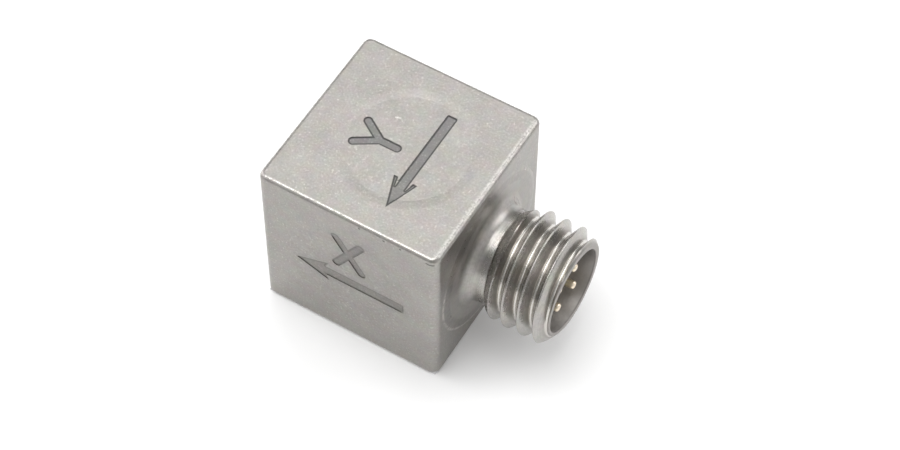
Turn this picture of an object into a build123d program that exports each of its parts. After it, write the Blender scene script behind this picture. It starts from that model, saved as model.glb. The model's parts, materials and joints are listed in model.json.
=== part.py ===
from build123d import *
from math import radians, sqrt, tan
import os

# A miniature three-axis vibration sensor: a small welded metal cube with a threaded four-pin
# socket on one side and a tapped mounting hole underneath.
# Frame: the origin is the middle of the mounting face, at the mouth of the tapped hole.
# +Z points up out of the marked top, +X out of the socket, and -Y out of the marked front.
# All lengths are in millimetres and all angles in degrees.

# Cube
side = 10.2
upright_edge_round = 0.45
level_edge_round = 0.25
wall = 0.9
bore_radius = 2.3

# Tapped hole in the mounting face, closed by a floor above its end
tapped_hole_radius = 1.335
tapped_hole_depth = 2.3
tapped_hole_floor = 0.5
countersink = 0.3

# Welded caps, each a little below its face, with the weld as a sloping ring over the seam
cap_radius = 3.38
cap_thickness = 0.7
cap_recess = 0.04
cap_weld_width = 0.5
top_cap_x = 0.4
top_cap_y = 0.1
top_cap_ledge = 0.53

# Gaps between pieces that are welded, bonded or soldered together
weld_gap = 0.02
bond_gap = 0.02

# Axis marks, engraved after welding
mark_depth = 0.03
mark_corner_round = 0.05
mark_tail_round = 0.12
letter_stroke = 0.48

# Marks of the top face, from the middle of the cube: an arrow along -Y and the letter Y
top_arrow_x = 1.27
top_arrow_tail_y = 2.87
top_arrow_tip_y = -3.48
top_arrow_shaft_width = 0.58
top_arrow_head_length = 1.86
top_arrow_head_reach = 0.66
top_arrow_barb_width = 0.24
top_arrow_notch_depth = 0.53
top_letter_y = -0.2
top_letter_fork_x = -1.06
top_letter_stem_length = 0.96
top_letter_arm_length = 1.14
top_letter_arm_reach = 0.72

# Marks of the front face, from its middle: an arrow along -X and the letter X
front_arrow_height = -0.42
front_arrow_tail_x = 3.2
front_arrow_tip_x = -3.1
front_arrow_shaft_width = 0.7
front_arrow_head_length = 1.91
front_arrow_head_reach = 0.74
front_arrow_notch_depth = 0.18
front_letter_x = 0.05
front_letter_height = 1.97
front_letter_half_width = 0.72
front_letter_half_height = 1.14

# Threaded socket, measured from the face it is welded into
socket_length = 4.86
socket_radius = 2.29
socket_depth = 4.0
socket_wall = 0.19
flange_radius = 4.18
flange_thickness = 1.0
flange_proud = 0.06
flange_weld_width = 0.7
flare_radius = 0.78

# Outside thread of the socket, with its phase as the angle of the first full crest
thread_depth = 0.62
thread_pitch = 0.907
thread_crest_width = 0.07
thread_flank_angle = 30
thread_first_crest = 2.12
thread_phase = 31.5
thread_turns_before = 2
run_out_start = 0.9
run_out_length = 0.9

# Pin header sealed into the socket
seal_ledge = 0.24
seal_lip_width = 0.3
seal_thickness = 1.3
pin_count = 4
pin_radius = 0.23
pin_circle_radius = 1.1
pin_first_angle = 45
pin_recess = 0.3
pin_tip_round = 0.15
pin_tail = 0.2

# Sensing elements, one for each axis
post_base_radius = 1.6
post_base_thickness = 0.35
post_radius = 0.55
post_height = 2.0
crystal_wall = 0.38
crystal_height = 1.2
crystal_middle = 1.1
mass_wall = 0.42
mass_height = 1.35
preload_ring_wall = 0.15
preload_ring_height = 0.9

# Amplifier board behind the pin header, with its chips from the +Y side round over the top
board_clearance = 0.1
board_thickness = 0.5
board_setback = 0.5
chip_axes = ("y", "z", "x")
chip_spacing = 90
chip_size = 0.8
chip_thickness = 0.45
chip_circle_radius = 1.5

# Signal leads
lead_radius = 0.08
lead_bend = 0.2
lead_rise = 0.5
lead_landing_offset = 1.3

half = side / 2
top_bore_floor = tapped_hole_depth + tapped_hole_floor
top_bore_radius = cap_radius - top_cap_ledge
thread_root_radius = socket_radius + socket_wall
thread_major_radius = thread_root_radius + thread_depth
socket_floor = socket_length - socket_depth
seal_seat = socket_floor - seal_thickness
seal_radius = socket_radius - seal_ledge
seal_lip_radius = seal_radius - seal_lip_width
board_radius = bore_radius - board_clearance
board_face = -flange_thickness - board_setback
chip_seat = board_face - board_thickness
crystal_inner_radius = post_radius + bond_gap
mass_inner_radius = crystal_inner_radius + crystal_wall + bond_gap
preload_inner_radius = mass_inner_radius + mass_wall + bond_gap

top_plane = Plane(origin=(0, 0, side), x_dir=(1, 0, 0), z_dir=(0, 0, 1))
top_cap_plane = Plane(origin=(top_cap_x, top_cap_y, side), x_dir=(1, 0, 0), z_dir=(0, 0, 1))
front_plane = Plane(origin=(0, -half, half), x_dir=(1, 0, 0), z_dir=(0, -1, 0))
socket_plane = Plane(origin=(half, 0, half), x_dir=(0, 1, 0), z_dir=(1, 0, 0))
x_seat = Plane(origin=(-half + wall, 0, half), x_dir=(0, 1, 0), z_dir=(1, 0, 0))
y_seat = Plane(origin=(0, half - wall, half), x_dir=(1, 0, 0), z_dir=(0, -1, 0))
z_seat = Plane(origin=(0, 0, top_bore_floor), x_dir=(1, 0, 0), z_dir=(0, 0, 1))

os.makedirs("parts", exist_ok=True)


def save(part, name):
    """Label a finished piece and write it to its own file."""
    part.label = name
    export_step(part, f"parts/{name}.step")


def section_of(face):
    """The plane that holds a face's normal: local x lies along the face and local y points out."""
    return Plane(origin=face.origin, x_dir=face.x_dir, z_dir=face.x_dir.cross(face.z_dir))


def turning_axis(face):
    """The line through a face's middle, square to it."""
    return Axis(face.origin, face.z_dir)


def straight_stroke(start, end):
    """One straight stroke of a letter, with round ends."""
    middle = (Vector(*start) + Vector(*end)) / 2
    SlotCenterPoint(middle, end, letter_stroke)


def top_marks(plane):
    """The arrow and the letter of the top face, which both stand for the -Y direction."""
    half_shaft = top_arrow_shaft_width / 2
    barb_inner = top_arrow_head_reach - top_arrow_barb_width
    barb_y = top_arrow_tip_y + top_arrow_head_length
    notch_y = barb_y - top_arrow_notch_depth
    fork = (top_letter_fork_x, top_letter_y)
    stem_end_x = top_letter_fork_x + top_letter_stem_length
    arm_end_x = top_letter_fork_x - top_letter_arm_length
    with BuildSketch(plane) as marks:
        Polygon(
            (top_arrow_x - half_shaft, top_arrow_tail_y),
            (top_arrow_x - half_shaft, notch_y),
            (top_arrow_x - barb_inner, barb_y),
            (top_arrow_x - top_arrow_head_reach, barb_y),
            (top_arrow_x, top_arrow_tip_y),
            (top_arrow_x + top_arrow_head_reach, barb_y),
            (top_arrow_x + barb_inner, barb_y),
            (top_arrow_x + half_shaft, notch_y),
            (top_arrow_x + half_shaft, top_arrow_tail_y),
        )
        fillet(marks.vertices().sort_by(Axis.Y)[:-2], mark_corner_round)
        fillet(marks.vertices().sort_by(Axis.Y)[-2:], mark_tail_round)
        straight_stroke(fork, (stem_end_x, top_letter_y))
        straight_stroke(fork, (arm_end_x, top_letter_y + top_letter_arm_reach))
        straight_stroke(fork, (arm_end_x, top_letter_y - top_letter_arm_reach))
    return marks.sketch


def front_marks(plane):
    """The arrow and the letter of the front face, which both stand for the -X direction."""
    half_shaft = front_arrow_shaft_width / 2
    barb_x = front_arrow_tip_x + front_arrow_head_length
    notch_x = barb_x - front_arrow_notch_depth
    with BuildSketch(plane) as marks:
        Polygon(
            (front_arrow_tail_x, front_arrow_height - half_shaft),
            (front_arrow_tail_x, front_arrow_height + half_shaft),
            (notch_x, front_arrow_height + half_shaft),
            (barb_x, front_arrow_height + front_arrow_head_reach),
            (front_arrow_tip_x, front_arrow_height),
            (barb_x, front_arrow_height - front_arrow_head_reach),
            (notch_x, front_arrow_height - half_shaft),
        )
        fillet(marks.vertices().sort_by(Axis.X)[:-2], mark_corner_round)
        fillet(marks.vertices().sort_by(Axis.X)[-2:], mark_tail_round)
        for rise in (front_letter_half_height, -front_letter_half_height):
            straight_stroke(
                (front_letter_x - front_letter_half_width, front_letter_height - rise),
                (front_letter_x + front_letter_half_width, front_letter_height + rise),
            )
    return marks.sketch


def weld_slope(face, radius, width, rise, mode):
    """The outer half of a weld, which slopes up or down from the face to the seam."""
    with BuildSketch(section_of(face)) as slope:
        Polygon((radius, 0), (radius + width / 2, 0), (radius, rise / 2))
    revolve(slope.sketch, axis=turning_axis(face), mode=mode)


def bore(face, radius, depth):
    """A round hole straight into a face."""
    with BuildSketch(face) as mouth:
        Circle(radius)
    extrude(mouth.sketch, amount=-depth, mode=Mode.SUBTRACT)


# Housing: the cube with its bores, the seats for the caps and the socket, and the tapped hole
cap_seat_radius = cap_radius + weld_gap
flange_seat_radius = flange_radius + weld_gap
mark_cut_height = mark_depth + cap_recess
with BuildPart() as housing:
    with BuildSketch():
        Rectangle(side, side)
    extrude(amount=side)
    fillet(housing.edges().filter_by(Axis.Z), upright_edge_round)
    fillet(housing.edges().filter_by(Axis.X), level_edge_round)

    weld_slope(top_cap_plane, cap_seat_radius, cap_weld_width, -cap_recess, Mode.SUBTRACT)
    weld_slope(front_plane, cap_seat_radius, cap_weld_width, -cap_recess, Mode.SUBTRACT)
    weld_slope(socket_plane, flange_seat_radius, flange_weld_width, flange_proud, Mode.ADD)
    extrude(top_marks(top_plane.offset(-mark_depth)), amount=mark_cut_height, mode=Mode.SUBTRACT)
    extrude(front_marks(front_plane.offset(-mark_depth)), amount=mark_cut_height, mode=Mode.SUBTRACT)

    bore(top_cap_plane, cap_seat_radius, cap_thickness)
    bore(top_cap_plane, top_bore_radius, side - top_bore_floor)
    bore(front_plane, cap_seat_radius, cap_thickness)
    bore(front_plane, bore_radius, side - wall)
    bore(socket_plane.offset(flange_proud), flange_seat_radius, flange_thickness + flange_proud)
    bore(socket_plane, bore_radius, side - wall)

    with BuildSketch():
        Circle(tapped_hole_radius)
    extrude(amount=tapped_hole_depth, mode=Mode.SUBTRACT)
    hole_mouth = housing.faces().sort_by(Axis.Z)[0].inner_wires().edges()
    chamfer(hole_mouth, countersink)
save(housing.part, "housing")


# Caps: turned discs whose rims slope up to the weld's seam
def cap(face, marks, name):
    """A cap with its part of the engraved marks."""
    with BuildPart() as disc:
        with BuildSketch(section_of(face)):
            Polygon(
                (0, -cap_thickness),
                (cap_radius, -cap_thickness),
                (cap_radius, -cap_recess / 2),
                (cap_radius - cap_weld_width / 2, -cap_recess),
                (0, -cap_recess),
            )
        revolve(axis=turning_axis(face))
        extrude(marks, amount=mark_cut_height, mode=Mode.SUBTRACT)
    save(disc.part, name)


cap(top_cap_plane, top_marks(top_plane.offset(-cap_recess - mark_depth)), "top_cap")
cap(front_plane, front_marks(front_plane.offset(-cap_recess - mark_depth)), "front_cap")

# Thread ridge, made upright round the Z axis with its foot inside the socket's wall, then
# trimmed to the run-out at the neck and to the chamfer at the mouth
helix_start = thread_first_crest - thread_pitch * (thread_turns_before + thread_phase / 360)
ridge_foot_radius = (thread_root_radius + socket_radius) / 2
ridge_height = thread_major_radius - ridge_foot_radius
ridge_foot_width = thread_crest_width + 2 * ridge_height * tan(radians(thread_flank_angle))
with BuildPart() as thread_ridge:
    with BuildLine():
        thread_path = Helix(
            thread_pitch,
            socket_length + thread_pitch - helix_start,
            ridge_foot_radius,
            center=(0, 0, helix_start),
        )
    with BuildSketch(Plane(origin=thread_path @ 0, x_dir=(1, 0, 0), z_dir=thread_path % 0)):
        Polygon(
            (0, -ridge_foot_width / 2),
            (ridge_height, -thread_crest_width / 2),
            (ridge_height, thread_crest_width / 2),
            (0, ridge_foot_width / 2),
        )
    sweep(is_frenet=True)
    outside_radius = thread_major_radius + ridge_height
    outside_rise = outside_radius - thread_root_radius
    run_out_slope = run_out_length / thread_depth
    with BuildSketch(Plane.XZ):
        Polygon(
            (0, run_out_start),
            (thread_root_radius, run_out_start),
            (outside_radius, run_out_start + outside_rise * run_out_slope),
            (outside_radius, socket_length - outside_rise),
            (thread_root_radius, socket_length),
            (0, socket_length),
        )
    revolve(axis=Axis.Z, mode=Mode.INTERSECT)

# Socket shell: one turned piece with a welded flange, a flared neck and the outside thread
with BuildPart() as socket_shell:
    with BuildSketch(section_of(socket_plane)):
        with BuildLine():
            Polyline(
                (thread_root_radius, flange_proud + flare_radius),
                (thread_root_radius, socket_length),
                (socket_radius, socket_length),
                (socket_radius, socket_floor),
                (seal_radius, socket_floor),
                (seal_radius, seal_seat),
                (seal_lip_radius, seal_seat),
                (seal_lip_radius, -flange_thickness),
                (flange_radius, -flange_thickness),
                (flange_radius, flange_proud / 2),
                (flange_radius - flange_weld_width / 2, flange_proud),
                (thread_root_radius + flare_radius, flange_proud),
            )
            CenterArc(
                (thread_root_radius + flare_radius, flange_proud + flare_radius),
                flare_radius,
                start_angle=180,
                arc_size=90,
            )
        make_face()
    revolve(axis=turning_axis(socket_plane))
    with Locations(socket_plane.location):
        add(thread_ridge.part)
save(socket_shell.part, "socket_shell")

# Pin seal: the insulating disc at the bottom of the socket
with BuildPart() as pin_seal:
    with BuildSketch(socket_plane.offset(seal_seat)):
        Circle(seal_radius - bond_gap)
        with PolarLocations(pin_circle_radius, pin_count, start_angle=pin_first_angle):
            Circle(pin_radius + bond_gap, mode=Mode.SUBTRACT)
    extrude(amount=seal_thickness)
save(pin_seal.part, "pin_seal")

# Contact pins, from their tails behind the board to their rounded tips in the socket's mouth
pin_tail_end = chip_seat - pin_tail
pin_tip = socket_length - pin_recess
pin_places = PolarLocations(pin_circle_radius, pin_count, start_angle=pin_first_angle)
for number, place in enumerate(pin_places.local_locations, start=1):
    with BuildPart() as contact_pin:
        with BuildSketch(socket_plane.offset(pin_tail_end)):
            with Locations(place):
                Circle(pin_radius)
        extrude(amount=pin_tip - pin_tail_end)
        fillet(contact_pin.faces().sort_by(Axis.X)[-1].edges(), pin_tip_round)
    save(contact_pin.part, f"contact_pin_{number}")


# Sensing elements: on each post sit a piezo crystal ring, a seismic mass and a preload ring
def ring(seat, inner_radius, wall_thickness, height, name):
    """One ring of a sensing element, centred on the height of its crystal."""
    with BuildPart() as turned_ring:
        with BuildSketch(seat.offset(crystal_middle - height / 2)):
            Circle(inner_radius + wall_thickness)
            Circle(inner_radius, mode=Mode.SUBTRACT)
        extrude(amount=height)
    save(turned_ring.part, name)


def sensing_element(seat, axis_name):
    """The post and the three rings of one axis, standing on their seat in the housing."""
    with BuildPart() as post:
        with BuildSketch(seat):
            Circle(post_base_radius)
        extrude(amount=post_base_thickness)
        with BuildSketch(seat):
            Circle(post_radius)
        extrude(amount=post_height)
    save(post.part, f"{axis_name}_post")
    ring(seat, crystal_inner_radius, crystal_wall, crystal_height, f"{axis_name}_crystal")
    ring(seat, mass_inner_radius, mass_wall, mass_height, f"{axis_name}_mass")
    ring(seat, preload_inner_radius, preload_ring_wall, preload_ring_height, f"{axis_name}_preload_ring")


sensing_element(x_seat, "x")
sensing_element(y_seat, "y")
sensing_element(z_seat, "z")

# Amplifier board, soldered onto the tails of the contact pins
with BuildPart() as amplifier_board:
    with BuildSketch(socket_plane.offset(chip_seat)):
        Circle(board_radius)
        with PolarLocations(pin_circle_radius, pin_count, start_angle=pin_first_angle):
            Circle(pin_radius + bond_gap, mode=Mode.SUBTRACT)
    extrude(amount=board_thickness)
save(amplifier_board.part, "amplifier_board")

# Amplifier chips, one for each axis, on the inner side of the board
chip_places = PolarLocations(
    chip_circle_radius,
    len(chip_axes),
    angular_range=chip_spacing * len(chip_axes),
)
for axis_name, place in zip(chip_axes, chip_places.local_locations):
    with BuildPart() as amplifier_chip:
        with BuildSketch(socket_plane.offset(chip_seat)):
            with Locations(place):
                Rectangle(chip_size, chip_size)
        extrude(amount=-chip_thickness)
    save(amplifier_chip.part, f"{axis_name}_amplifier_chip")


# Signal leads, each from the end of a seismic mass to the inner side of the board
def lead(points, name):
    """A thin wire along straight runs joined by bends."""
    with BuildPart() as wire:
        with BuildLine():
            route = FilletPolyline(*points, radius=lead_bend)
        with BuildSketch(Plane(origin=route @ 0, z_dir=route % 0)):
            Circle(lead_radius)
        sweep()
    save(wire.part, name)


mass_end = crystal_middle + mass_height / 2
mass_mid_radius = mass_inner_radius + mass_wall / 2
lead_side = mass_mid_radius / sqrt(2)
landing_x = half + chip_seat
turn_x = landing_x - lead_rise
lead(
    [
        (x_seat.origin.X + mass_end, -lead_side, half + lead_side),
        (x_seat.origin.X + mass_end + lead_rise, -lead_side, half + lead_side),
        (turn_x, -lead_landing_offset, half + lead_landing_offset),
        (landing_x, -lead_landing_offset, half + lead_landing_offset),
    ],
    "x_lead",
)
lead(
    [
        (lead_side, y_seat.origin.Y - mass_end, half + lead_side),
        (lead_side, y_seat.origin.Y - mass_end - lead_rise, half + lead_side),
        (turn_x, lead_landing_offset, half + lead_landing_offset),
        (landing_x, lead_landing_offset, half + lead_landing_offset),
    ],
    "y_lead",
)
lead(
    [
        (mass_mid_radius, 0, z_seat.origin.Z + mass_end),
        (mass_mid_radius, 0, z_seat.origin.Z + mass_end + lead_rise),
        (landing_x, 0, z_seat.origin.Z + mass_end + lead_rise),
    ],
    "z_lead",
)
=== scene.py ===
# %% [markdown]
# # A small vibration sensor
# The sensor is a welded metal cube of about ten millimetres, with arrows on two faces and a
# threaded socket on a third. The solid model already has every piece at its real size, so this
# lesson keeps what is right, replaces what needs finer shapes, and spends its effort on metal.

# %% Load the solid model
import json
import math
import bmesh
import bpy
from mathutils import Matrix, Vector


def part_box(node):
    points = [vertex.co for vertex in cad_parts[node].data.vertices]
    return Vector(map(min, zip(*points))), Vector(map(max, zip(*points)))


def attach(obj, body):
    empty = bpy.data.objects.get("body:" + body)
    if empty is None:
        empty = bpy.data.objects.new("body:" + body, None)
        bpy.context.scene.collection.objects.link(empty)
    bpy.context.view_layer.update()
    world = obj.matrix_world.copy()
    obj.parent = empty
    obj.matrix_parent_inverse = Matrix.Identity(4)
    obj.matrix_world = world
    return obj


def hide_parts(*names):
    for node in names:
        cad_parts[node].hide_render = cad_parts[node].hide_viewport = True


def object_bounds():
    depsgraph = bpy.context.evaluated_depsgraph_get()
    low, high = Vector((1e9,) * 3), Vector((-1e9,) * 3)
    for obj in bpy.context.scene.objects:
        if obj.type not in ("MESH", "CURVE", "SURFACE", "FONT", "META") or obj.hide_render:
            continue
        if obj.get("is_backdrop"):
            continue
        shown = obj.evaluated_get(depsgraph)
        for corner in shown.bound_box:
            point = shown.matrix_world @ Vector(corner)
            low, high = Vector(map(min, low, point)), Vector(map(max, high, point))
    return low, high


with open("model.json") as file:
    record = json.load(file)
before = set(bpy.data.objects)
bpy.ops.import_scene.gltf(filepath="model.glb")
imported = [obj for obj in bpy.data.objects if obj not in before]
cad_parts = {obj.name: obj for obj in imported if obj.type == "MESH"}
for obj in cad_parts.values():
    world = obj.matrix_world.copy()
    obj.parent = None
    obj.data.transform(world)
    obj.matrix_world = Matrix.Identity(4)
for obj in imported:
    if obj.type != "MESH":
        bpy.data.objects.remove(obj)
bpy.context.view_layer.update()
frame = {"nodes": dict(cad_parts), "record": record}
MM = 0.001
print("pieces in the solid model:", len(frame["nodes"]))

# %% [markdown]
# ## Sizes
# The places of the cube, its caps and its socket can be typed in again or read from the solid
# model. Reading them is safer, because a piece that is worked out from its neighbour's box
# still fits when the model changes. Only what a box can't tell is written here.

# %% Read the sizes in millimetres
def box_mm(node):
    """The lowest and highest corner of a node, in millimetres."""
    low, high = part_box(node)
    return low / MM, high / MM


pin_low, pin_high = box_mm("contact_pin_1")
seal_low, seal_high = box_mm("pin_seal")
shell_low, shell_high = box_mm("socket_shell")
top_low, top_high = box_mm("top_cap")

cube = 10.2
half = cube / 2
cap_radius = (top_high.x - top_low.x) / 2
cap_middle_x = (top_high.x + top_low.x) / 2
cap_middle_y = (top_high.y + top_low.y) / 2
cap_recess = 2 * (cube - top_high.z)
mouth = shell_high.x - half
flange_radius = (shell_high.y - shell_low.y) / 2
flange_thickness = half - shell_low.x
pin_radius = (pin_high.y - pin_low.y) / 2
print("cap radius %.2f, recess %.3f, socket %.2f, flange radius %.2f, pin radius %.3f mm"
      % (cap_radius, cap_recess, mouth, flange_radius, pin_radius))

# %% [markdown]
# ## Camera
# The sensor was seen from the right, well above, through a long lens. A camera can be turned by
# hand or aimed at a point. Aiming is easier to read: a place, a point to look at, a small roll.

# %% Camera
camera_place = Vector((39.469, -62.339, 110.422)) * MM
camera_target = Vector((2.667, 0.291, 5.033)) * MM
camera_roll = math.radians(0.609)
camera_lens = 101.70

camera_data = bpy.data.cameras.new("camera")
camera_data.lens = camera_lens
camera_data.clip_start = 0.01
camera_data.clip_end = 10
camera = bpy.data.objects.new("camera", camera_data)
bpy.context.scene.collection.objects.link(camera)
aim = (camera_target - camera_place).to_track_quat("-Z", "Y").to_matrix().to_4x4()
roll = Matrix.Rotation(camera_roll, 4, "Z")
camera.matrix_world = Matrix.Translation(camera_place) @ aim @ roll
bpy.context.scene.camera = camera
print("camera stands %.0f mm from its target" % ((camera_place - camera_target).length / MM))

# %% [markdown]
# ## Light
# Metal shows its surroundings more than its own colour, so a bare white world would make every
# face the same grey. A low even world with soft panels round the sensor gives each face its own
# tone and the thread its dark grooves and bright crests. Together they light the floor at about
# the strength at which a colour looks as it is written.

# %% World and soft panels
object_middle = Vector((2.0, 0.0, 5.0)) * MM
panel_width = 0.40
panel_distance = 0.60
world_strength = 0.45


def panel(name, direction, brightness):
    """A square soft light that looks at the sensor from one direction."""
    data = bpy.data.lights.new(name, "AREA")
    data.size = panel_width
    data.energy = brightness * math.pi * panel_width * panel_width
    lamp = bpy.data.objects.new(name, data)
    lamp.location = object_middle + Vector(direction) * panel_distance
    lamp.rotation_euler = Vector(direction).to_track_quat("Z", "Y").to_euler()
    bpy.context.scene.collection.objects.link(lamp)


panel("panel_over", (-0.10, -0.10, 0.98), 2.99)
panel("panel_back_left", (-0.29, 0.49, 0.82), 1.41)
panel("panel_back_right", (0.50, 0.65, 0.57), 2.53)
panel("panel_left", (-0.85, -0.10, 0.50), 2.60)
panel("panel_front_left", (-0.55, -0.60, 0.58), 0.85)
panel("panel_right", (0.85, -0.10, 0.50), 0.51)
world = bpy.data.worlds.new("studio")
world.use_nodes = True
world.node_tree.nodes["Background"].inputs["Color"].default_value = (1.0, 1.0, 1.0, 1.0)
world.node_tree.nodes["Background"].inputs["Strength"].default_value = world_strength
bpy.context.scene.world = world
bpy.context.scene.view_settings.view_transform = "Standard"
print("soft panels:", len([item for item in bpy.data.lights if item.name.startswith("panel")]))

# %% [markdown]
# ## Writing nodes
# A material is a small graph. Adding each node and link by hand takes many lines, so a helper
# adds one node, fills its inputs and links those that come from another node. The steps that
# come up most often, such as a soft step or a mix of two colours, have a name of their own.

# %% A helper that adds and links nodes
class Bench:
    """Adds nodes to one node tree and links them."""

    def __init__(self, tree):
        self.tree = tree

    def fill(self, node, inputs):
        """Give each input a value, or a link from another node."""
        for key, value in inputs.items():
            if isinstance(value, bpy.types.NodeSocket):
                self.tree.links.new(value, node.inputs[key])
            else:
                node.inputs[key].default_value = value
        return node

    def add(self, kind, inputs=None, **settings):
        """Add a node, set what it is, then fill its inputs."""
        node = self.tree.nodes.new(kind)
        for key, value in settings.items():
            setattr(node, key, value)
        return self.fill(node, inputs or {})

    def group(self, tree, inputs):
        """Place a node group and give back its outputs."""
        return self.add("ShaderNodeGroup", inputs, node_tree=tree).outputs

    def math(self, operation, *values, clamp=False):
        """One step of arithmetic on numbers."""
        inputs = dict(enumerate(values))
        return self.add("ShaderNodeMath", inputs, operation=operation, use_clamp=clamp).outputs[0]

    def vector(self, operation, *values):
        """One step of arithmetic on vectors."""
        inputs = dict(enumerate(values))
        return self.add("ShaderNodeVectorMath", inputs, operation=operation).outputs

    def scaled(self, vector, factor):
        """A vector made longer or shorter."""
        inputs = {0: vector, "Scale": factor}
        return self.add("ShaderNodeVectorMath", inputs, operation="SCALE").outputs[0]

    def split(self, vector):
        """The three parts of a vector."""
        return self.add("ShaderNodeSeparateXYZ", {0: vector}).outputs

    def flat(self, u, v):
        """A point in a plane."""
        return self.add("ShaderNodeCombineXYZ", {0: u, 1: v}).outputs[0]

    def rise(self, value, low, high):
        """A smooth step from 0 at low to 1 at high."""
        inputs = {"Value": value, "From Min": low, "From Max": high}
        return self.add("ShaderNodeMapRange", inputs, interpolation_type="SMOOTHSTEP").outputs[0]

    def fall(self, value, low, high):
        """A smooth step from 1 at low to 0 at high."""
        return self.math("SUBTRACT", 1.0, self.rise(value, low, high))

    def noise(self, point, scale, detail, roughness=0.5):
        """Noise of one size with some finer layers."""
        inputs = {"Vector": point, "Scale": scale, "Detail": detail, "Roughness": roughness}
        return self.add("ShaderNodeTexNoise", inputs).outputs

    def mix(self, share, a, b, blend="MIX"):
        """Two colours mixed by a share."""
        inputs = {"Factor": share, 6: a, 7: b}
        return self.add("ShaderNodeMix", inputs, data_type="RGBA", blend_type=blend).outputs[2]


# %% [markdown]
# An effect that several materials share is made once, as a node group with named inputs and
# outputs. Copying its nodes into each material would work too, but then every later change has
# to be made in each of them.

# %% Helpers for node groups
NUMBER = "NodeSocketFloat"
VECTOR = "NodeSocketVector"
COLOR = "NodeSocketColor"
ORIGIN = (0.0, 0.0, 0.0)
WHITE = (1.0, 1.0, 1.0, 1.0)


def new_group(name, inputs, outputs):
    """An empty node group with named sockets, its bench, and its input and output nodes."""
    tree = bpy.data.node_groups.new(name, "ShaderNodeTree")
    for socket_name, kind, value in inputs:
        socket = tree.interface.new_socket(socket_name, in_out="INPUT", socket_type=kind)
        socket.default_value = value
    for socket_name, kind in outputs:
        tree.interface.new_socket(socket_name, in_out="OUTPUT", socket_type=kind)
    bench = Bench(tree)
    return tree, bench, bench.add("NodeGroupInput").outputs, bench.add("NodeGroupOutput")


def say_nodes(name, tree):
    """Print how many nodes a tree holds."""
    print(name, "has", len(tree.nodes), "nodes")


# %% [markdown]
# ## Shared effects
# Blasted metal is covered in tiny dents that catch the light, over large soft clouds of tone.
# Both come from noise, one fine and one broad. They are needed by several materials, so they
# are one node group with its own sizes for each material.

# %% Group: grain of blasted metal
grain_group, bench, given, result = new_group(
    "metal_grain",
    [
        ("Point", VECTOR, ORIGIN), ("Grain", NUMBER, 9.0), ("Cloud", NUMBER, 0.8),
        ("Contrast", NUMBER, 0.3),
    ],
    [("Tone", NUMBER), ("Tint", COLOR), ("Height", NUMBER), ("Glint", NUMBER)],
)
hue_scale = 1.6
noise_middle = 0.5
cloud_share = 0.7
tint_share = 0.15
glint_start, glint_full = 0.60, 0.72
fine = bench.noise(given["Point"], given["Grain"], 3.0)["Fac"]
broad = bench.noise(given["Point"], given["Cloud"], 4.0, roughness=0.6)["Fac"]
hue = bench.noise(given["Point"], hue_scale, 3.0)["Color"]
fine_part = bench.math("SUBTRACT", fine, noise_middle)
broad_part = bench.math("SUBTRACT", broad, noise_middle)
both = bench.math("ADD", fine_part, bench.math("MULTIPLY", broad_part, cloud_share))
bench.fill(result, {
    "Tone": bench.math("MULTIPLY_ADD", both, given["Contrast"], 1.0),
    "Tint": bench.mix(tint_share, WHITE, hue),
    "Height": fine,
    "Glint": bench.rise(fine, glint_start, glint_full),
})
say_nodes("metal_grain", grain_group)

# %% [markdown]
# The distance from a straight line gives strokes with round ends, which is how the letters and
# a scratch are drawn. It is the usual sum: project the point on the line, keep it between the
# ends, and measure what is left.

# %% Group: distance from a stroke
stroke_group, bench, given, result = new_group(
    "stroke_distance",
    [("Point", VECTOR, ORIGIN), ("Start", VECTOR, ORIGIN), ("End", VECTOR, ORIGIN)],
    [("Distance", NUMBER)],
)
along = bench.vector("SUBTRACT", given["End"], given["Start"])[0]
reach = bench.vector("SUBTRACT", given["Point"], given["Start"])[0]
shadow = bench.vector("DOT_PRODUCT", reach, along)["Value"]
length_squared = bench.vector("DOT_PRODUCT", along, along)["Value"]
share = bench.math("DIVIDE", shadow, length_squared, clamp=True)
gap = bench.vector("SUBTRACT", reach, bench.scaled(along, share))[0]
bench.fill(result, {"Distance": bench.vector("LENGTH", gap)["Value"]})
say_nodes("stroke_distance", stroke_group)

# %% [markdown]
# An arrow is where a few straight borders overlap: a shaft, a head and the notch between them.
# Their overlap says what is inside. How far the outline is comes from its five straight sides,
# measured as strokes, because a border goes on past the arrow and would draw false lines.

# %% Group: distance from an arrow's outline
arrow_group, bench, given, result = new_group(
    "arrow_distance",
    [
        ("Across", NUMBER, 0.0), ("Along", NUMBER, 0.0), ("Half shaft", NUMBER, 0.3),
        ("Tail", NUMBER, 6.4), ("Head length", NUMBER, 1.9), ("Head reach", NUMBER, 0.7),
        ("Barb inner", NUMBER, 0.4), ("Notch", NUMBER, 1.3), ("Tail round", NUMBER, 0.12),
    ],
    [("Distance", NUMBER)],
)
across = bench.math("ABSOLUTE", given["Across"])
here = bench.flat(across, given["Along"])
outline_corners = [
    bench.flat(0.0, 0.0),
    bench.flat(given["Head reach"], given["Head length"]),
    bench.flat(given["Barb inner"], given["Head length"]),
    bench.flat(given["Half shaft"], given["Notch"]),
    bench.flat(given["Half shaft"], given["Tail"]),
    bench.flat(0.0, given["Tail"]),
]
nearest_side = None
for start, end in zip(outline_corners, outline_corners[1:]):
    side = bench.group(stroke_group, {"Point": here, "Start": start, "End": end})["Distance"]
    nearest_side = side if nearest_side is None else bench.math("MINIMUM", nearest_side, side)


def past_line(start, end):
    """Above zero on the outer side of the line through two corners."""
    run = bench.vector("SUBTRACT", end, start)[0]
    reach = bench.vector("SUBTRACT", here, start)[0]
    return bench.split(bench.vector("CROSS_PRODUCT", reach, run)[0])[2]


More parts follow.
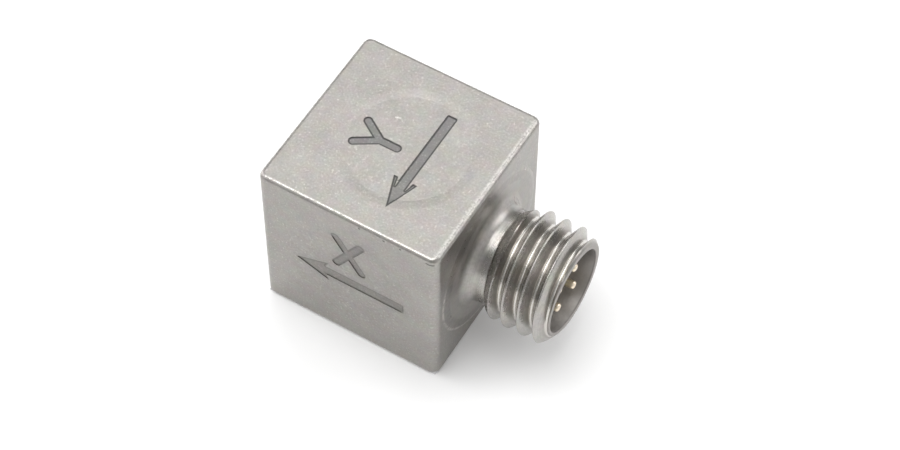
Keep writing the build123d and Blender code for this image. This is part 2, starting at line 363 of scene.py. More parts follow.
past_slant = past_line(outline_corners[0], outline_corners[1])
past_barb = bench.math("SUBTRACT", given["Along"], given["Head length"])
past_notch = past_line(outline_corners[2], outline_corners[3])
past_shaft = bench.math("SUBTRACT", across, given["Half shaft"])
past_tail = bench.math("SUBTRACT", given["Along"], given["Tail"])
past_head = bench.math("MAXIMUM", past_barb, past_notch)
past_body = bench.math("MINIMUM", past_shaft, past_head)
past_any = bench.math("MAXIMUM", bench.math("MAXIMUM", past_slant, past_body), past_tail)
sharp_arrow = bench.math("MULTIPLY", bench.math("SIGN", past_any), nearest_side)
say_nodes("arrow with sharp corners", arrow_group)

# %% [markdown]
# The two corners of an arrow's tail are a little round, as a laser's round spot leaves them. The
# rounding is added last: close to the tail it takes the place of the sharp outline.

# %% Round tail of the arrow
over_shaft = bench.math("MAXIMUM", bench.math("ADD", past_shaft, given["Tail round"]), 0.0)
over_tail = bench.math("MAXIMUM", bench.math("ADD", past_tail, given["Tail round"]), 0.0)
tail_corner = bench.vector("LENGTH", bench.flat(over_shaft, over_tail))["Value"]
tail_corner = bench.math("SUBTRACT", tail_corner, given["Tail round"])
near_tail = bench.math("MULTIPLY_ADD", given["Tail round"], 2.0, past_tail)
tail_corner = bench.math("MINIMUM", tail_corner, near_tail)
bench.fill(result, {"Distance": bench.math("MAXIMUM", sharp_arrow, tail_corner)})
say_nodes("arrow_distance", arrow_group)

# %% [markdown]
# The marks are burnt in by a laser. Their floor is an even grey, the beam's last pass leaves a
# darker line round the edge, and the heat leaves a soft halo. From one distance this group
# makes a mask for each of the three.

# %% Group: fill, outline and halo of a mark
mark_group, bench, given, result = new_group(
    "mark_masks",
    [
        ("Distance", NUMBER, 1.0), ("Line", NUMBER, 0.10), ("Blur", NUMBER, 0.03),
        ("Halo", NUMBER, 0.3),
    ],
    [("Fill", NUMBER), ("Outline", NUMBER), ("Halo", NUMBER)],
)
blur_in = bench.math("MULTIPLY", given["Blur"], -1.0)
fill = bench.fall(given["Distance"], blur_in, given["Blur"])
line_in = bench.math("MULTIPLY", given["Line"], -1.0)
line_start = bench.math("SUBTRACT", line_in, given["Blur"])
line_full = bench.math("ADD", line_in, given["Blur"])
past_line_in = bench.rise(given["Distance"], line_start, line_full)
bench.fill(result, {
    "Fill": fill,
    "Outline": bench.math("MULTIPLY", fill, past_line_in),
    "Halo": bench.fall(given["Distance"], 0.0, given["Halo"]),
})
say_nodes("mark_masks", mark_group)

# %% [markdown]
# The top's edges carry a painted highlight, partly real rubbed wear: the front and right ones in a
# narrow band on the side of the top, the far two over most of their rounding. Near an edge two
# coordinates are both close to the cube's faces: the height says how far down the rounding a point
# is, the other how far in.

# %% Group: painted highlight and wear on the cube's edges
edge_group, bench, given, result = new_group(
    "cube_edge_wear_and_highlights",
    [
        ("Point", VECTOR, ORIGIN), ("Half side", NUMBER, half),
        ("Reach x", NUMBER, 0.40), ("Reach y", NUMBER, 0.23),
        ("Share x", NUMBER, 0.45), ("Share far", NUMBER, 0.80),
    ],
    [("Mask", NUMBER)],
)
full_share_x, full_share_y = 0.55, 0.65
far_full, far_reach = 0.12, 0.22
near_depth_full, near_depth = 0.01, 0.035
far_depth_full, far_depth = 0.10, 0.15
parts = bench.split(given["Point"])
from_right = bench.math("SUBTRACT", given["Half side"], parts[0])
from_left = bench.math("ADD", given["Half side"], parts[0])
from_front = bench.math("ADD", given["Half side"], parts[1])
from_back = bench.math("SUBTRACT", given["Half side"], parts[1])
below_top = bench.math("SUBTRACT", bench.math("MULTIPLY", given["Half side"], 2.0), parts[2])

full_x = bench.math("MULTIPLY", given["Reach x"], full_share_x)
full_y = bench.math("MULTIPLY", given["Reach y"], full_share_y)
# painted highlight, partly wear: a narrow band on the top's side of the front and right edges
right_edge = bench.math("MULTIPLY", bench.fall(from_right, full_x, given["Reach x"]),
                        given["Share x"])
front_edge = bench.fall(from_front, full_y, given["Reach y"])
near_edges = bench.math("MULTIPLY", bench.math("MAXIMUM", right_edge, front_edge),
                        bench.fall(below_top, near_depth_full, near_depth))
# painted highlight, partly wear: most of the rounding of the far two edges
far_edges = bench.fall(bench.math("MINIMUM", from_left, from_back), far_full, far_reach)
far_edges = bench.math("MULTIPLY", bench.math("MULTIPLY", far_edges, given["Share far"]),
                       bench.fall(below_top, far_depth_full, far_depth))
bench.fill(result, {"Mask": bench.math("MAXIMUM", near_edges, far_edges)})
say_nodes("cube_edge_wear_and_highlights", edge_group)

# %% [markdown]
# Turned metal has fine rings from the tool, square to its axis. Noise that is squeezed along
# the axis and stretched round it gives rings that break up a little, as real ones do.

# %% Group: rings of turned metal
turned_group, bench, given, result = new_group(
    "turned_rings",
    [("Point", VECTOR, ORIGIN), ("Rings", NUMBER, 25.0), ("Around", NUMBER, 0.5)],
    [("Tone", NUMBER), ("Height", NUMBER)],
)
ring_contrast = 0.3
parts = bench.split(given["Point"])
squeezed = bench.add("ShaderNodeCombineXYZ", {
    0: bench.math("MULTIPLY", parts[0], given["Rings"]),
    1: bench.math("MULTIPLY", parts[1], given["Around"]),
    2: bench.math("MULTIPLY", parts[2], given["Around"]),
}).outputs[0]
rings = bench.noise(squeezed, 1.0, 2.0)["Fac"]
ring_part = bench.math("SUBTRACT", rings, noise_middle)
bench.fill(result, {
    "Tone": bench.math("MULTIPLY_ADD", ring_part, ring_contrast, 1.0),
    "Height": rings,
})
print("shared groups:", sorted(g.name for g in bpy.data.node_groups))

# %% [markdown]
# ## Materials
# Every material starts the same way: a shader, and the point on the piece in millimetres, so
# that a grain size in a node is a size on the object. It ends the same way too: a colour, a
# roughness and tiny dents are joined to the shader.

# %% Start and end of every material
def new_material(name, metallic, roughness):
    """A material with its shader, its bench and the point on the piece in millimetres."""
    material = bpy.data.materials.new(name)
    material.use_nodes = True
    shader = material.node_tree.nodes["Principled BSDF"]
    shader.inputs["Metallic"].default_value = metallic
    shader.inputs["Roughness"].default_value = roughness
    bench = Bench(material.node_tree)
    place = bench.add("ShaderNodeTexCoord").outputs["Object"]
    return material, shader, bench, bench.scaled(place, 1 / MM)


def join(bench, shader, color, rough, height, depth_mm):
    """Join a colour, a roughness and dents of a real depth to the shader."""
    inputs = {"Height": height, "Distance": depth_mm * MM, "Strength": 1.0}
    bump = bench.add("ShaderNodeBump", inputs).outputs[0]
    bench.fill(shader, {"Base Color": color, "Roughness": rough, "Normal": bump})


def shade(bench, color, *factors):
    """A colour times tones and tints."""
    for factor in factors:
        if factor.type == "VALUE":
            grey = {0: factor, 1: factor, 2: factor}
            factor = bench.add("ShaderNodeCombineColor", grey).outputs[0]
        color = bench.mix(1.0, color, factor, blend="MULTIPLY")
    return color


def darker(bench, color, mask, amount):
    """A colour made darker where a mask is set."""
    factor = bench.math("SUBTRACT", 1.0, bench.math("MULTIPLY", mask, amount))
    return shade(bench, color, factor)


def changed(bench, value, changes):
    """A value with an amount added where each mask is set."""
    for mask, amount in changes:
        value = bench.math("MULTIPLY_ADD", mask, amount, value)
    return value


# %% [markdown]
# ### Case metal
# The cube and its caps are one finish: blasted, then tumbled, then marked after welding. The
# marks run over the cap and the cube alike, so all three share this material. Marks and small
# damage are all drawn with strokes, which these helpers measure.

# %% Helpers for strokes on a face
def nearest(bench, distances):
    """The smallest of several distances."""
    found = distances[0]
    for other in distances[1:]:
        found = bench.math("MINIMUM", found, other)
    return found


def strokes(bench, place, ends, half_width):
    """The distance from the edge of straight strokes with round ends."""
    found = []
    for start, end in ends:
        inputs = {"Point": place, "Start": (*start, 0.0), "End": (*end, 0.0)}
        found.append(bench.group(stroke_group, inputs)["Distance"])
    return bench.math("SUBTRACT", nearest(bench, found), half_width)


def spots(bench, place, ends, half_width, blur):
    """A mask of strokes with a blurred edge."""
    return bench.fall(strokes(bench, place, ends, half_width), 0.0, blur)


# %% [markdown]
# The letters and arrows say which way the sensor measures. They could be a picture laid on the
# faces, but a picture has a fixed sharpness and needs unwrapping. Drawn as distances in
# millimetres, they stay sharp and lie where the solid model has its shallow cuts.

# %% Places of the marks
case_roughness = 0.38
case_metal, shader, bench, point = new_material("case_metal", 1.0, case_roughness)
parts = bench.split(point)
top_place = bench.flat(parts[0], parts[1])
front_place = bench.flat(parts[0], parts[2])
letter_half_width = 0.24
fork = (-1.06, -0.2)
letter_y = strokes(bench, top_place, [
    (fork, (-0.10, -0.2)), (fork, (-2.20, 0.52)), (fork, (-2.20, -0.92)),
], letter_half_width)
letter_x = strokes(bench, front_place, [
    ((-0.67, 5.93), (0.77, 8.21)), ((-0.67, 8.21), (0.77, 5.93)),
], letter_half_width)

top_arrow_x, top_tip_y = 1.27, -3.48
front_arrow_z, front_tip_x = 4.68, -3.10
top_arrow = bench.group(arrow_group, {
    "Across": bench.math("SUBTRACT", parts[0], top_arrow_x),
    "Along": bench.math("SUBTRACT", parts[1], top_tip_y),
    "Half shaft": 0.29, "Tail": 6.35, "Head length": 1.86, "Head reach": 0.66,
    "Barb inner": 0.42, "Notch": 1.33,
})["Distance"]
front_arrow = bench.group(arrow_group, {
    "Across": bench.math("SUBTRACT", parts[2], front_arrow_z),
    "Along": bench.math("SUBTRACT", parts[0], front_tip_x),
    "Half shaft": 0.35, "Tail": 6.30, "Head length": 1.91, "Head reach": 0.74,
    "Barb inner": 0.73, "Notch": 1.73,
})["Distance"]

# the marks lie only in the skin of their own face
skin_start, skin_full = 0.2, 0.1
front_height = bench.math("MULTIPLY", parts[1], -1.0)
on_top = bench.rise(parts[2], cube - skin_start, cube - skin_full)
on_front = bench.rise(front_height, half - skin_start, half - skin_full)
top_marks = bench.group(mark_group, {
    "Distance": nearest(bench, [letter_y, top_arrow]), "Line": 0.085,
})
front_marks = bench.group(mark_group, {
    "Distance": nearest(bench, [letter_x, front_arrow]), "Line": 0.10, "Blur": 0.05, "Halo": 0.45,
})
say_nodes("case metal with its marks placed", case_metal.node_tree)

# %% [markdown]
# The metal itself comes first: grain and clouds with painted glints, edges brightened by wear and
# a painted highlight, a short scratch, and a dark nick or two where the cube was knocked. Noise
# breaks the bright edges up, as on real metal.

# %% Grain, wear and painted highlights of the case
case_color = (0.362, 0.346, 0.326, 1.0)
worn_and_highlight_color = (0.86, 0.84, 0.80, 1.0)
glint_share = 0.12
worn_and_highlight_share = 0.74
edge_noise_start, edge_noise_full = 0.27, 0.58
scratch_share = 0.4
nick_share = 0.6
scratch_ends = [((-1.15, 1.40), (-0.92, 1.47))]
nick_ends = [
    ((4.55, 9.90), (4.90, 9.88)), ((2.14, 9.97), (2.18, 9.97)),
    ((3.07, 9.96), (3.10, 9.96)), ((0.77, 9.98), (0.79, 9.98)),
]
grain = bench.group(grain_group, {"Point": point, "Grain": 9.0, "Cloud": 0.7, "Contrast": 0.40})
edges = bench.group(edge_group, {"Point": point})["Mask"]
broken = bench.rise(grain["Height"], edge_noise_start, edge_noise_full)
worn_and_highlight = bench.math("MULTIPLY", edges, broken)
metal = shade(bench, case_color, grain["Tone"], grain["Tint"])
# painted glints: the brightest grains take the pale worn and highlight colour
metal = bench.mix(bench.math("MULTIPLY", grain["Glint"], glint_share), metal, worn_and_highlight_color)
# painted highlight, partly real wear, along the top's edges
metal = bench.mix(bench.math("MULTIPLY", worn_and_highlight, worn_and_highlight_share), metal, worn_and_highlight_color)
scratch = spots(bench, top_place, scratch_ends, half_width=0.015, blur=0.05)
scratch = bench.math("MULTIPLY", bench.math("MULTIPLY", scratch, on_top), scratch_share)
metal = bench.mix(scratch, metal, worn_and_highlight_color)
nicks = spots(bench, front_place, nick_ends, half_width=0.02, blur=0.06)
metal = darker(bench, metal, bench.math("MULTIPLY", nicks, on_front), nick_share)
say_nodes("case metal with its wear", case_metal.node_tree)

# %% [markdown]
# Then the marks darken the metal, strongly on the top, and faintly on the front, where the laser
# only warmed the surface and left a soft halo.

# %% Burnt marks on the case
burnt_color = (0.0, 0.012, 0.030, 1.0)
burnt_share = 0.37
top_fill = bench.math("MULTIPLY", top_marks["Fill"], on_top)
metal = bench.mix(bench.math("MULTIPLY", top_fill, burnt_share), metal, burnt_color)
for mask, where, amount in (
    (top_marks["Outline"], on_top, 0.58),
    (front_marks["Halo"], on_front, 0.07),
    (front_marks["Fill"], on_front, 0.27),
    (front_marks["Outline"], on_front, 0.28),
):
    metal = darker(bench, metal, bench.math("MULTIPLY", mask, where), amount)
rough = changed(bench, case_roughness, [(grain["Glint"], -0.12), (worn_and_highlight, -0.12), (top_fill, 0.12)])
join(bench, shader, metal, rough, grain["Height"], depth_mm=0.010)
say_nodes("case metal", case_metal.node_tree)

# %% [markdown]
# ### Turned metal
# The socket is turned from the same metal and left bright, but not evenly: the thread's roots
# are smoother with a painted highlight, its grooves carry a brown painted shade towards the roots,
# and the bore is rough with a painted shade. How far a point is from the socket's axis, and how
# far out, tells these zones apart, and follows the thread without painting by hand.
# Each zone fades in or out between two radii or two places along the axis.

# %% Zones of the socket
turned_roughness = 0.27
bore_radii = (2.26, 2.33)
deep_radii = (2.50, 2.85)
root_radii = (2.52, 2.60)
thread_start = (half + 1.4, half + 1.6)
root_start = (half + 1.3, half + 1.6)
rim_start = (half + mouth - 0.12, half + mouth - 0.05)
flange_end = (half + 0.2, half + 0.9)
turned_metal, shader, bench, point = new_material("turned_metal", 1.0, turned_roughness)
rings = bench.group(turned_group, {"Point": point, "Rings": 22.0, "Around": 0.5})
grain = bench.group(grain_group, {"Point": point, "Grain": 6.0, "Cloud": 0.9, "Contrast": 0.40})


def distance_from_axis(bench, parts):
    """How far a point is from the socket's axis."""
    height = bench.math("SUBTRACT", parts[2], half)
    return bench.vector("LENGTH", bench.flat(parts[1], height))["Value"]


parts = bench.split(point)
from_axis = distance_from_axis(bench, parts)
inside = bench.fall(from_axis, *bore_radii)
deep = bench.fall(from_axis, *deep_radii)
in_thread = bench.math("MULTIPLY", deep, bench.rise(parts[0], *thread_start))
in_root = bench.fall(from_axis, *root_radii)
in_root = bench.math("MULTIPLY", in_root, bench.rise(parts[0], *root_start))
at_mouth = bench.rise(parts[0], *rim_start)
in_root = bench.math("MULTIPLY", in_root, bench.math("SUBTRACT", 1.0, at_mouth))
on_flange = bench.fall(parts[0], *flange_end)
say_nodes("zones of the socket", turned_metal.node_tree)

# %% [markdown]
# Each zone then takes a share of a colour, in places a painted highlight or painted shade, and a
# smoother or duller surface.

# %% Turned metal in its zones
bright_color = (0.42, 0.403, 0.38, 1.0)
groove_shade_color = (0.20, 0.165, 0.135, 1.0)
root_highlight_color = (0.66, 0.64, 0.60, 1.0)
bore_shade_color = (0.345, 0.328, 0.32, 1.0)
groove_shade_share = 0.25
root_highlight_share = 0.65
flange_shade = 0.05
mouth_shade = 0.18
bright = shade(bench, bright_color, rings["Tone"], grain["Tone"], grain["Tint"])
bright = darker(bench, bright, on_flange, flange_shade)
# painted shade: the grooves turn darker and browner towards the roots
bright = bench.mix(bench.math("MULTIPLY", in_thread, groove_shade_share), bright, groove_shade_color)
# painted highlight: the concave roots of the thread are lighter
bright = bench.mix(bench.math("MULTIPLY", in_root, root_highlight_share), bright, root_highlight_color)
bright = darker(bench, bright, at_mouth, mouth_shade)
# painted shade: the bore is darker than the turned outside
metal = bench.mix(inside, bright, shade(bench, bore_shade_color, grain["Tone"]))
rough = changed(bench, turned_roughness, [
    (grain["Glint"], 0.10), (in_thread, 0.12), (in_root, -0.18), (on_flange, 0.18), (inside, 0.35),
])
height = bench.math("ADD", rings["Height"], grain["Height"])
join(bench, shader, metal, rough, height, depth_mm=0.0035)
say_nodes("turned metal", turned_metal.node_tree)

# %% [markdown]
# ### Weld metal
# The weld round the socket's flange froze as a slightly darker pool. Its outer edge carries a thin
# painted highlight, on the low front side only, so a mask that grows towards there carries it.

# %% Weld metal
weld_color = (0.37, 0.35, 0.33, 1.0)
weld_highlight_color = (0.80, 0.78, 0.74, 1.0)
weld_roughness = 0.34
pool_radii = (4.32, 4.40)
highlight_inner_radii = (4.34, 4.43)
highlight_outer_radii = (4.46, 4.55)
highlight_reach = (-1.5, -4.5)
highlight_noise = (0.35, 0.60)
weld_highlight_share = 0.40
pool_shade = 0.14
weld_metal, shader, bench, point = new_material("weld_metal", 1.0, weld_roughness)
grain = bench.group(grain_group, {"Point": point, "Grain": 5.0, "Cloud": 0.8, "Contrast": 0.5})
parts = bench.split(point)
from_axis = distance_from_axis(bench, parts)
# painted highlight: a thin bright line on the weld's outer edge, low front side only
highlight_start = bench.rise(from_axis, *highlight_inner_radii)
weld_highlight = bench.math("SUBTRACT", highlight_start, bench.rise(from_axis, *highlight_outer_radii))
low_front = bench.math("ADD", parts[1], bench.math("SUBTRACT", parts[2], half))
weld_highlight = bench.math("MULTIPLY", weld_highlight, bench.rise(low_front, *highlight_reach))
weld_highlight = bench.math("MULTIPLY", weld_highlight, bench.rise(grain["Height"], *highlight_noise))
pool = bench.fall(from_axis, *pool_radii)
metal = shade(bench, weld_color, grain["Tone"], grain["Tint"])
metal = darker(bench, metal, pool, pool_shade)
metal = bench.mix(bench.math("MULTIPLY", weld_highlight, weld_highlight_share), metal, weld_highlight_color)
rough = changed(bench, weld_roughness, [(grain["Glint"], -0.08)])
join(bench, shader, metal, rough, grain["Height"], depth_mm=0.012)
say_nodes("weld metal", weld_metal.node_tree)

# %% [markdown]
# ### The other finishes
# Gold, fused glass, ceramic and the sensing pieces inside each have a colour, a grain of their
# own size and a little unevenness. One function makes them all from a table.

# %% Gold, glass and the pieces inside
def plain_finish(name, color, metallic, roughness, grain_scale, contrast, depth_mm):
    """A finish with a grain of its own size."""
    material, shader, bench, point = new_material(name, metallic, roughness)
    sizes = {"Point": point, "Grain": grain_scale, "Cloud": 0.8, "Contrast": contrast}
    grain = bench.group(grain_group, sizes)
    toned = shade(bench, (*color, 1.0), grain["Tone"], grain["Tint"])
    rough = changed(bench, roughness, [(grain["Glint"], -0.08)])
    join(bench, shader, toned, rough, grain["Height"], depth_mm)
    return material


finishes = {"case_metal": case_metal, "turned_metal": turned_metal}
for name, *values in (
    # name, colour, metallic, roughness, grain, contrast, depth of the dents
    ("pin_gold", (0.87, 0.77, 0.60), 1.0, 0.28, 14.0, 0.10, 0.002),
    ("seal_glass", (0.035, 0.032, 0.03), 0.0, 0.30, 5.0, 0.30, 0.003),
    ("element_metal", (0.55, 0.55, 0.55), 1.0, 0.30, 10.0, 0.15, 0.003),
    ("mass_metal", (0.33, 0.33, 0.35), 1.0, 0.38, 9.0, 0.20, 0.004),
    ("crystal_ceramic", (0.62, 0.56, 0.42), 0.0, 0.60, 16.0, 0.25, 0.004),
    ("board_ceramic", (0.78, 0.77, 0.72), 0.0, 0.55, 12.0, 0.15, 0.003),
    ("chip_plastic", (0.03, 0.03, 0.032), 0.0, 0.50, 14.0, 0.40, 0.004),
    ("lead_wire", (0.80, 0.50, 0.28), 1.0, 0.28, 12.0, 0.12, 0.002),
):
    finishes[name] = plain_finish(name, *values)
print("finishes:", sorted(finishes))

# %% [markdown]
# The record says which finish each piece of the solid model has, so one loop dresses them all.

# %% Dress the solid pieces
slots = {row["node"]: row["material_slot"] for row in frame["record"]["subparts"]}
for node, piece in frame["nodes"].items():
    piece.data.materials.clear()
    piece.data.materials.append(finishes[slots[node]])
print("dressed", len(slots), "pieces with", len(finishes), "finishes")

# %% [markdown]
# ## Turned shapes
# Most small pieces here were turned on a lathe, and spinning a profile is the same idea. A
# profile is drawn as a few corners, the corners are rounded, and the line is spun once round.

# %% Helpers for turned pieces
FACES = {
    "top": Matrix(((1, 0, 0), (0, 1, 0), (0, 0, 1))),
    "front": Matrix(((1, 0, 0), (0, 0, -1), (0, 1, 0))),
    "socket": Matrix(((0, 0, 1), (1, 0, 0), (0, 1, 0))),
}
MERGE_DISTANCE = 1e-5


def profile(corners, closed=False):
    """A mesh that holds one line of corners, each a radius and a height."""
    mesh = bmesh.new()
    made = [mesh.verts.new((radius, 0.0, height)) for radius, height in corners]
    for a, b in zip(made, made[1:]):
        mesh.edges.new((a, b))
    if closed:
        mesh.edges.new((made[-1], made[0]))
    return mesh, made


def round_corners(mesh, corners, radius, segments):
    """Round some corners of a profile."""
    bmesh.ops.bevel(mesh, geom=corners, offset=radius, offset_type="OFFSET", affect="VERTICES",
                    segments=segments, profile=0.5, material=-1)


def spin_once(mesh, steps):
    """Spin a profile once round the upright axis."""
    bmesh.ops.spin(mesh, geom=mesh.verts[:] + mesh.edges[:], cent=(0, 0, 0), axis=(0, 0, 1),
                   angle=math.tau, steps=steps, use_merge=True)
    bmesh.ops.remove_doubles(mesh, verts=mesh.verts, dist=MERGE_DISTANCE)


# %% [markdown]
# A piece is made in millimetres with its axis upright. This last helper lays it on its face of
# the cube, brings it to metres, and says which body it rides and which solid it replaces. It
# counts open edges too, because a piece with a hole in it is no solid piece.

# %% Helper that hands a piece over
def finish_piece(mesh, name, face, place, material, sharp, replaces=()):
    """Turn a mesh in millimetres to its face, set it in place and hand it over as a piece."""
    bmesh.ops.recalc_face_normals(mesh, faces=mesh.faces)
    bmesh.ops.transform(mesh, matrix=FACES[face].to_4x4(), verts=mesh.verts)
    bmesh.ops.translate(mesh, vec=Vector(place), verts=mesh.verts)
    bmesh.ops.scale(mesh, vec=(MM, MM, MM), verts=mesh.verts)
    data = bpy.data.meshes.new(name)
    open_edges = sum(1 for edge in mesh.edges if not edge.is_manifold)
    mesh.to_mesh(data)
    mesh.free()
    data.shade_smooth()
    data.set_sharp_from_angle(angle=math.radians(sharp))
    data.materials.append(material)
    piece = bpy.data.objects.new(name, data)
    bpy.context.scene.collection.objects.link(piece)
    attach(piece, "root")
    if replaces:
        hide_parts(*replaces)
    print(name, "has", len(data.polygons), "faces and", open_edges, "open edges")


# %% [markdown]
# ## Welds
# A laser weld melts the seam between a cap and the cube into a sloping ring: the caps sank a
# little, and the socket's flange stands a little proud. The solid model keeps each seam open by
# a hair, so a closed ring lies over it with a softly crowned back.

# %% Weld rings over the seams
def weld_ring(name, face, place, seam, width, inside, crown, material):
    """A closed ring over a seam, from the height of the piece inside it to the face outside."""
    inner = seam - width / 2
    outer = seam + width / 2
    sunk = -0.10
    # its back falls evenly from the inside to the outside, a crown's height above a plain slope
    corners = [
        (inner, sunk), (inner, inside * 0.98),
        (seam - width / 4, inside * 0.75 + crown), (seam, inside * 0.50 + crown),
        (seam + width / 4, inside * 0.25 + crown), (outer, 0.0), (outer, sunk),
    ]
    mesh, made = profile(corners, closed=True)
    round_corners(mesh, made[2:5], width / 12, segments=2)
    spin_once(mesh, ring_steps)
    finish_piece(mesh, name, face, place, material, sharp=50)


ring_steps = 192
seam_gap = 0.01
cap_seam = cap_radius + seam_gap
cap_weld_width = 0.50
cap_crown = 0.003
flange_proud = 0.06
flange_weld_width = 0.72
flange_crown = 0.008
weld_ring("top_weld", "top", (cap_middle_x, cap_middle_y, cube), cap_seam, cap_weld_width,
          -cap_recess, cap_crown, case_metal)
weld_ring("front_weld", "front", (0, -half, half), cap_seam, cap_weld_width,
          -cap_recess, cap_crown, case_metal)
weld_ring("flange_weld", "socket", (half, 0, half), flange_radius + seam_gap, flange_weld_width,
          flange_proud, flange_crown, weld_metal)

# %% [markdown]
# ## Socket
# The thread is one groove wound round the socket. One pitch of it is drawn as a profile and
# repeated along the axis, then spun once round while it moves on by one pitch. Each turn then
# meets the next exactly.

# %% Thread before it is trimmed
root_radius = 2.48
major_radius = 3.10
pitch = 0.907
crest_width = 0.07
flank = (major_radius - root_radius) * math.tan(math.radians(30))
first_crest = 2.12
thread_phase = math.radians(31.5)
crest_round, root_round = 0.03, 0.045
flank_cuts = 7
steps_round = 160

corners = []
for turn in range(-3, 6):
    middle = first_crest + turn * pitch
    corners += [
        (root_radius, middle - crest_width / 2 - flank), (major_radius, middle - crest_width / 2),
        (major_radius, middle + crest_width / 2), (root_radius, middle + crest_width / 2 + flank),
    ]
thread_sleeve, made = profile(corners)
crests = [vertex for number, vertex in enumerate(made) if number % 4 in (1, 2)]
roots = [vertex for number, vertex in enumerate(made[1:-1], 1) if number % 4 in (0, 3)]
round_corners(thread_sleeve, crests, crest_round, segments=3)
round_corners(thread_sleeve, roots, root_round, segments=5)
flanks = [edge for edge in thread_sleeve.edges if edge.calc_length() > flank]
bmesh.ops.subdivide_edges(thread_sleeve, edges=flanks, cuts=flank_cuts)
bmesh.ops.rotate(thread_sleeve, verts=thread_sleeve.verts, cent=(0, 0, 0),
                 matrix=Matrix.Rotation(thread_phase, 3, "Z"))
bmesh.ops.spin(thread_sleeve, geom=thread_sleeve.verts[:] + thread_sleeve.edges[:],
               cent=(0, 0, 0), axis=(0, 0, 1), dvec=(0, 0, pitch / steps_round),
               angle=math.tau, steps=steps_round, use_merge=False)
bmesh.ops.remove_doubles(thread_sleeve, verts=thread_sleeve.verts, dist=1e-4)
print("thread has", len(thread_sleeve.faces), "faces before it is trimmed")

# %% [markdown]
# Towards the neck the groove gets shallow and the crests get lower, as where a tool comes out of
# the metal, and the mouth is trimmed by a cone. So each point is kept between a lowest and a
# highest radius for its height. The many cuts in the flanks keep that trim smooth. Two flat cuts
# then give the sleeve its length.

# %% Run-out, trimmed mouth and length of the thread
neck_radius = 2.58
run_out_start = 1.05
run_out_slope = 0.70
groove_start = 1.30
groove_full = 1.85
mouth_rim = 2.60
mouth_joint = 0.01

for vertex in thread_sleeve.verts:
    radius = vertex.co.xy.length
    height = vertex.co.z
    run_out_limit = neck_radius + run_out_slope * (height - run_out_start)
    highest = min(run_out_limit, mouth_rim + mouth - height)
    filled = max(0.0, min(1.0, (groove_full - height) / (groove_full - groove_start)))
    lowest = root_radius + (neck_radius - root_radius) * filled
    wanted = max(lowest, min(radius, highest))
    vertex.co.xy *= wanted / radius
for height, side in ((run_out_start, -1), (mouth - mouth_joint, 1)):
    everything = thread_sleeve.verts[:] + thread_sleeve.edges[:] + thread_sleeve.faces[:]
    bmesh.ops.bisect_plane(thread_sleeve, geom=everything, dist=1e-6, plane_co=(0, 0, height),
                           plane_no=(0, 0, side), clear_outer=True)
print("thread sleeve has", len(thread_sleeve.faces), "faces before it is closed")

# %% [markdown]
# The rest of the socket is a plain turned shell: mouth, bore, seat of the seal, flange and flared
# neck. Its profile starts at the mouth's rim and ends below the thread, so both ends stay open.

# %% Profile of the socket's shell
socket_radius = 2.29
socket_floor = mouth - 4.0
rim_width = 0.10
bore_round = 0.04
seal_gap = 0.02
seal_lip_width = 0.3
seal_radius = (seal_high.y - seal_low.y) / 2 + seal_gap
seal_seat = seal_low.x - half
seal_lip = seal_radius - seal_lip_width
flange_slope = 0.35
flare = 0.70
flare_steps = 12
joint_width = 0.04

corners = [
    (socket_radius + rim_width, mouth), (socket_radius, mouth), (socket_radius, socket_floor),
    (seal_radius, socket_floor), (seal_radius, seal_seat), (seal_lip, seal_seat),
    (seal_lip, -flange_thickness), (flange_radius, -flange_thickness),
    (flange_radius, flange_proud / 2), (flange_radius - flange_slope, flange_proud),
]
for number in range(flare_steps + 1):
    turn = math.radians(90) * number / flare_steps
    corners.append((neck_radius + flare * (1 - math.sin(turn)),
                    flange_proud + flare * (1 - math.cos(turn))))
corners.append((neck_radius, run_out_start - joint_width))
mesh, made = profile(corners)
round_corners(mesh, [made[1]], bore_round, segments=3)
spin_once(mesh, steps_round)
print("shell has", len(mesh.faces), "faces before it joins the thread")

# %% [markdown]
# The shell and the thread now have two free rims each, with as many points round. Laid into one
# mesh, they are bridged at the neck and at the mouth, which gives one closed piece.

# %% Join the shell and the thread
shell_data = bpy.data.meshes.new("shell_part")
mesh.to_mesh(shell_data)
mesh.free()
thread_sleeve.from_mesh(shell_data)
bpy.data.meshes.remove(shell_data)
rims = [edge for edge in thread_sleeve.edges if edge.is_boundary]
neck_rims = [edge for edge in rims if edge.verts[0].co.z < mouth / 2]
mouth_rims = [edge for edge in rims if edge.verts[0].co.z > mouth / 2]
for pair in (neck_rims, mouth_rims):
    bmesh.ops.bridge_loops(thread_sleeve, edges=pair)
bmesh.ops.remove_doubles(thread_sleeve, verts=thread_sleeve.verts, dist=MERGE_DISTANCE)
finish_piece(thread_sleeve, "socket_body", "socket", (half, 0, half), turned_metal,
             sharp=35, replaces=["socket_shell"])

# %% [markdown]
# Above the neck the welder left one small round spot, where a pulse ended: a ridge, a dimple
# and a low button in it. It is turned like the rest, then tipped square to the flare it lies on.

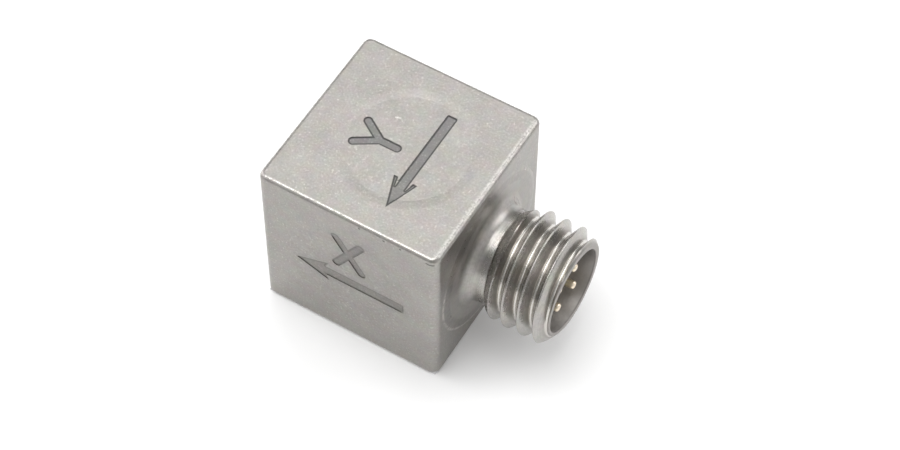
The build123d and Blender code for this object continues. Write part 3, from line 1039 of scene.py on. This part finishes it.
# %% End spot of the weld
spot_steps = 48
spot_radius = 0.34
spot_sunk = -0.10
spot_ridge = 0.05
spot_dimple = 0.01
spot_button = 0.035
spot_turn = math.radians(46)
spot_around = math.radians(37)
spot_from_axis = neck_radius + flare * (1 - math.sin(spot_turn))
spot_height = flange_proud + flare * (1 - math.cos(spot_turn))
mesh, made = profile([
    (0, spot_sunk), (spot_radius, spot_sunk), (spot_radius, 0.0), (0.27, spot_ridge),
    (0.17, spot_dimple), (0.09, spot_button), (0, spot_button),
])
round_corners(mesh, made[2:6], 0.02, segments=3)
spin_once(mesh, spot_steps)
bmesh.ops.rotate(mesh, verts=mesh.verts, cent=(0, 0, 0),
                 matrix=Matrix.Rotation(spot_turn, 3, "Y"))
bmesh.ops.translate(mesh, verts=mesh.verts, vec=(spot_from_axis, 0, spot_height))
bmesh.ops.rotate(mesh, verts=mesh.verts, cent=(0, 0, 0),
                 matrix=Matrix.Rotation(spot_around, 3, "Z"))
finish_piece(mesh, "weld_end", "socket", (half, 0, half), turned_metal, sharp=50)

# %% [markdown]
# ## Contact pins
# The pins are gold-plated wire with a rounded tip. At this size the solid's facets would show
# in the gold, so each pin is turned again with more steps and a fuller tip.

# %% Contact pins
pin_length = pin_high.x - pin_low.x
tip_round = 0.15
pin_steps = 32
for number in range(1, 5):
    low, high = box_mm("contact_pin_%d" % number)
    mesh, made = profile([(0, 0), (pin_radius, 0), (pin_radius, pin_length), (0, pin_length)])
    round_corners(mesh, [made[2]], tip_round, segments=6)
    spin_once(mesh, pin_steps)
    middle = (low + high) / 2
    finish_piece(mesh, "gold_pin_%d" % number, "socket", (low.x, middle.y, middle.z),
                 finishes["pin_gold"], sharp=40, replaces=["contact_pin_%d" % number])

# %% [markdown]
# ## Floor
# A plain pale sheet carries the sensor's shadow. It is large enough to reach past the camera's
# view, and it lies a hair below the mounting face, so that the two never share one plane.

# %% Floor sheet
floor_half = 1.5
floor_drop = 0.01 * MM
floor_mesh = bmesh.new()
bmesh.ops.create_grid(floor_mesh, x_segments=1, y_segments=1, size=floor_half)
bmesh.ops.translate(floor_mesh, vec=(0, 0, -floor_drop), verts=floor_mesh.verts)
floor_data = bpy.data.meshes.new("floor")
floor_mesh.to_mesh(floor_data)
floor_mesh.free()
floor = bpy.data.objects.new("floor", floor_data)
bpy.context.scene.collection.objects.link(floor)
floor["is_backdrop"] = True
print("floor is %.0f mm wide" % (2 * floor_half / MM))

# %% [markdown]
# A solid sheet would hide the mounting face and its hole from below. So the paper is seen
# through from below, and right under the cube it lets light through as well. From above nothing
# of this shows, because the cube stands on it.

# %% Paper of the floor
window_half = (half - 0.1) * MM
floor_paper = bpy.data.materials.new("floor_paper")
floor_paper.use_nodes = True
bench = Bench(floor_paper.node_tree)
paper = floor_paper.node_tree.nodes["Principled BSDF"]
bench.fill(paper, {"Base Color": (0.97, 0.97, 0.97, 1.0), "Roughness": 0.9})
from_below = bench.add("ShaderNodeNewGeometry").outputs["Backfacing"]
parts = bench.split(bench.add("ShaderNodeTexCoord").outputs["Object"])
aside = [bench.math("ABSOLUTE", part) for part in (parts[0], parts[1])]
under_cube = bench.math("LESS_THAN", bench.math("MAXIMUM", *aside), window_half)
open_share = bench.math("MAXIMUM", from_below, under_cube)
clear = bench.add("ShaderNodeBsdfTransparent").outputs[0]
seen = bench.add("ShaderNodeMixShader", {0: open_share, 1: paper.outputs[0], 2: clear}).outputs[0]
bench.fill(floor_paper.node_tree.nodes["Material Output"], {"Surface": seen})
floor_data.materials.append(floor_paper)
say_nodes("floor paper", floor_paper.node_tree)

# %% [markdown]
# ## Size of the dressed sensor
# The dressed sensor must be as large as the solid one. Its box is printed in millimetres.

# %% Sizes and the end
low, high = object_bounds()
print("visual size in mm:", [round((b - a) / MM, 3) for a, b in zip(low, high)])
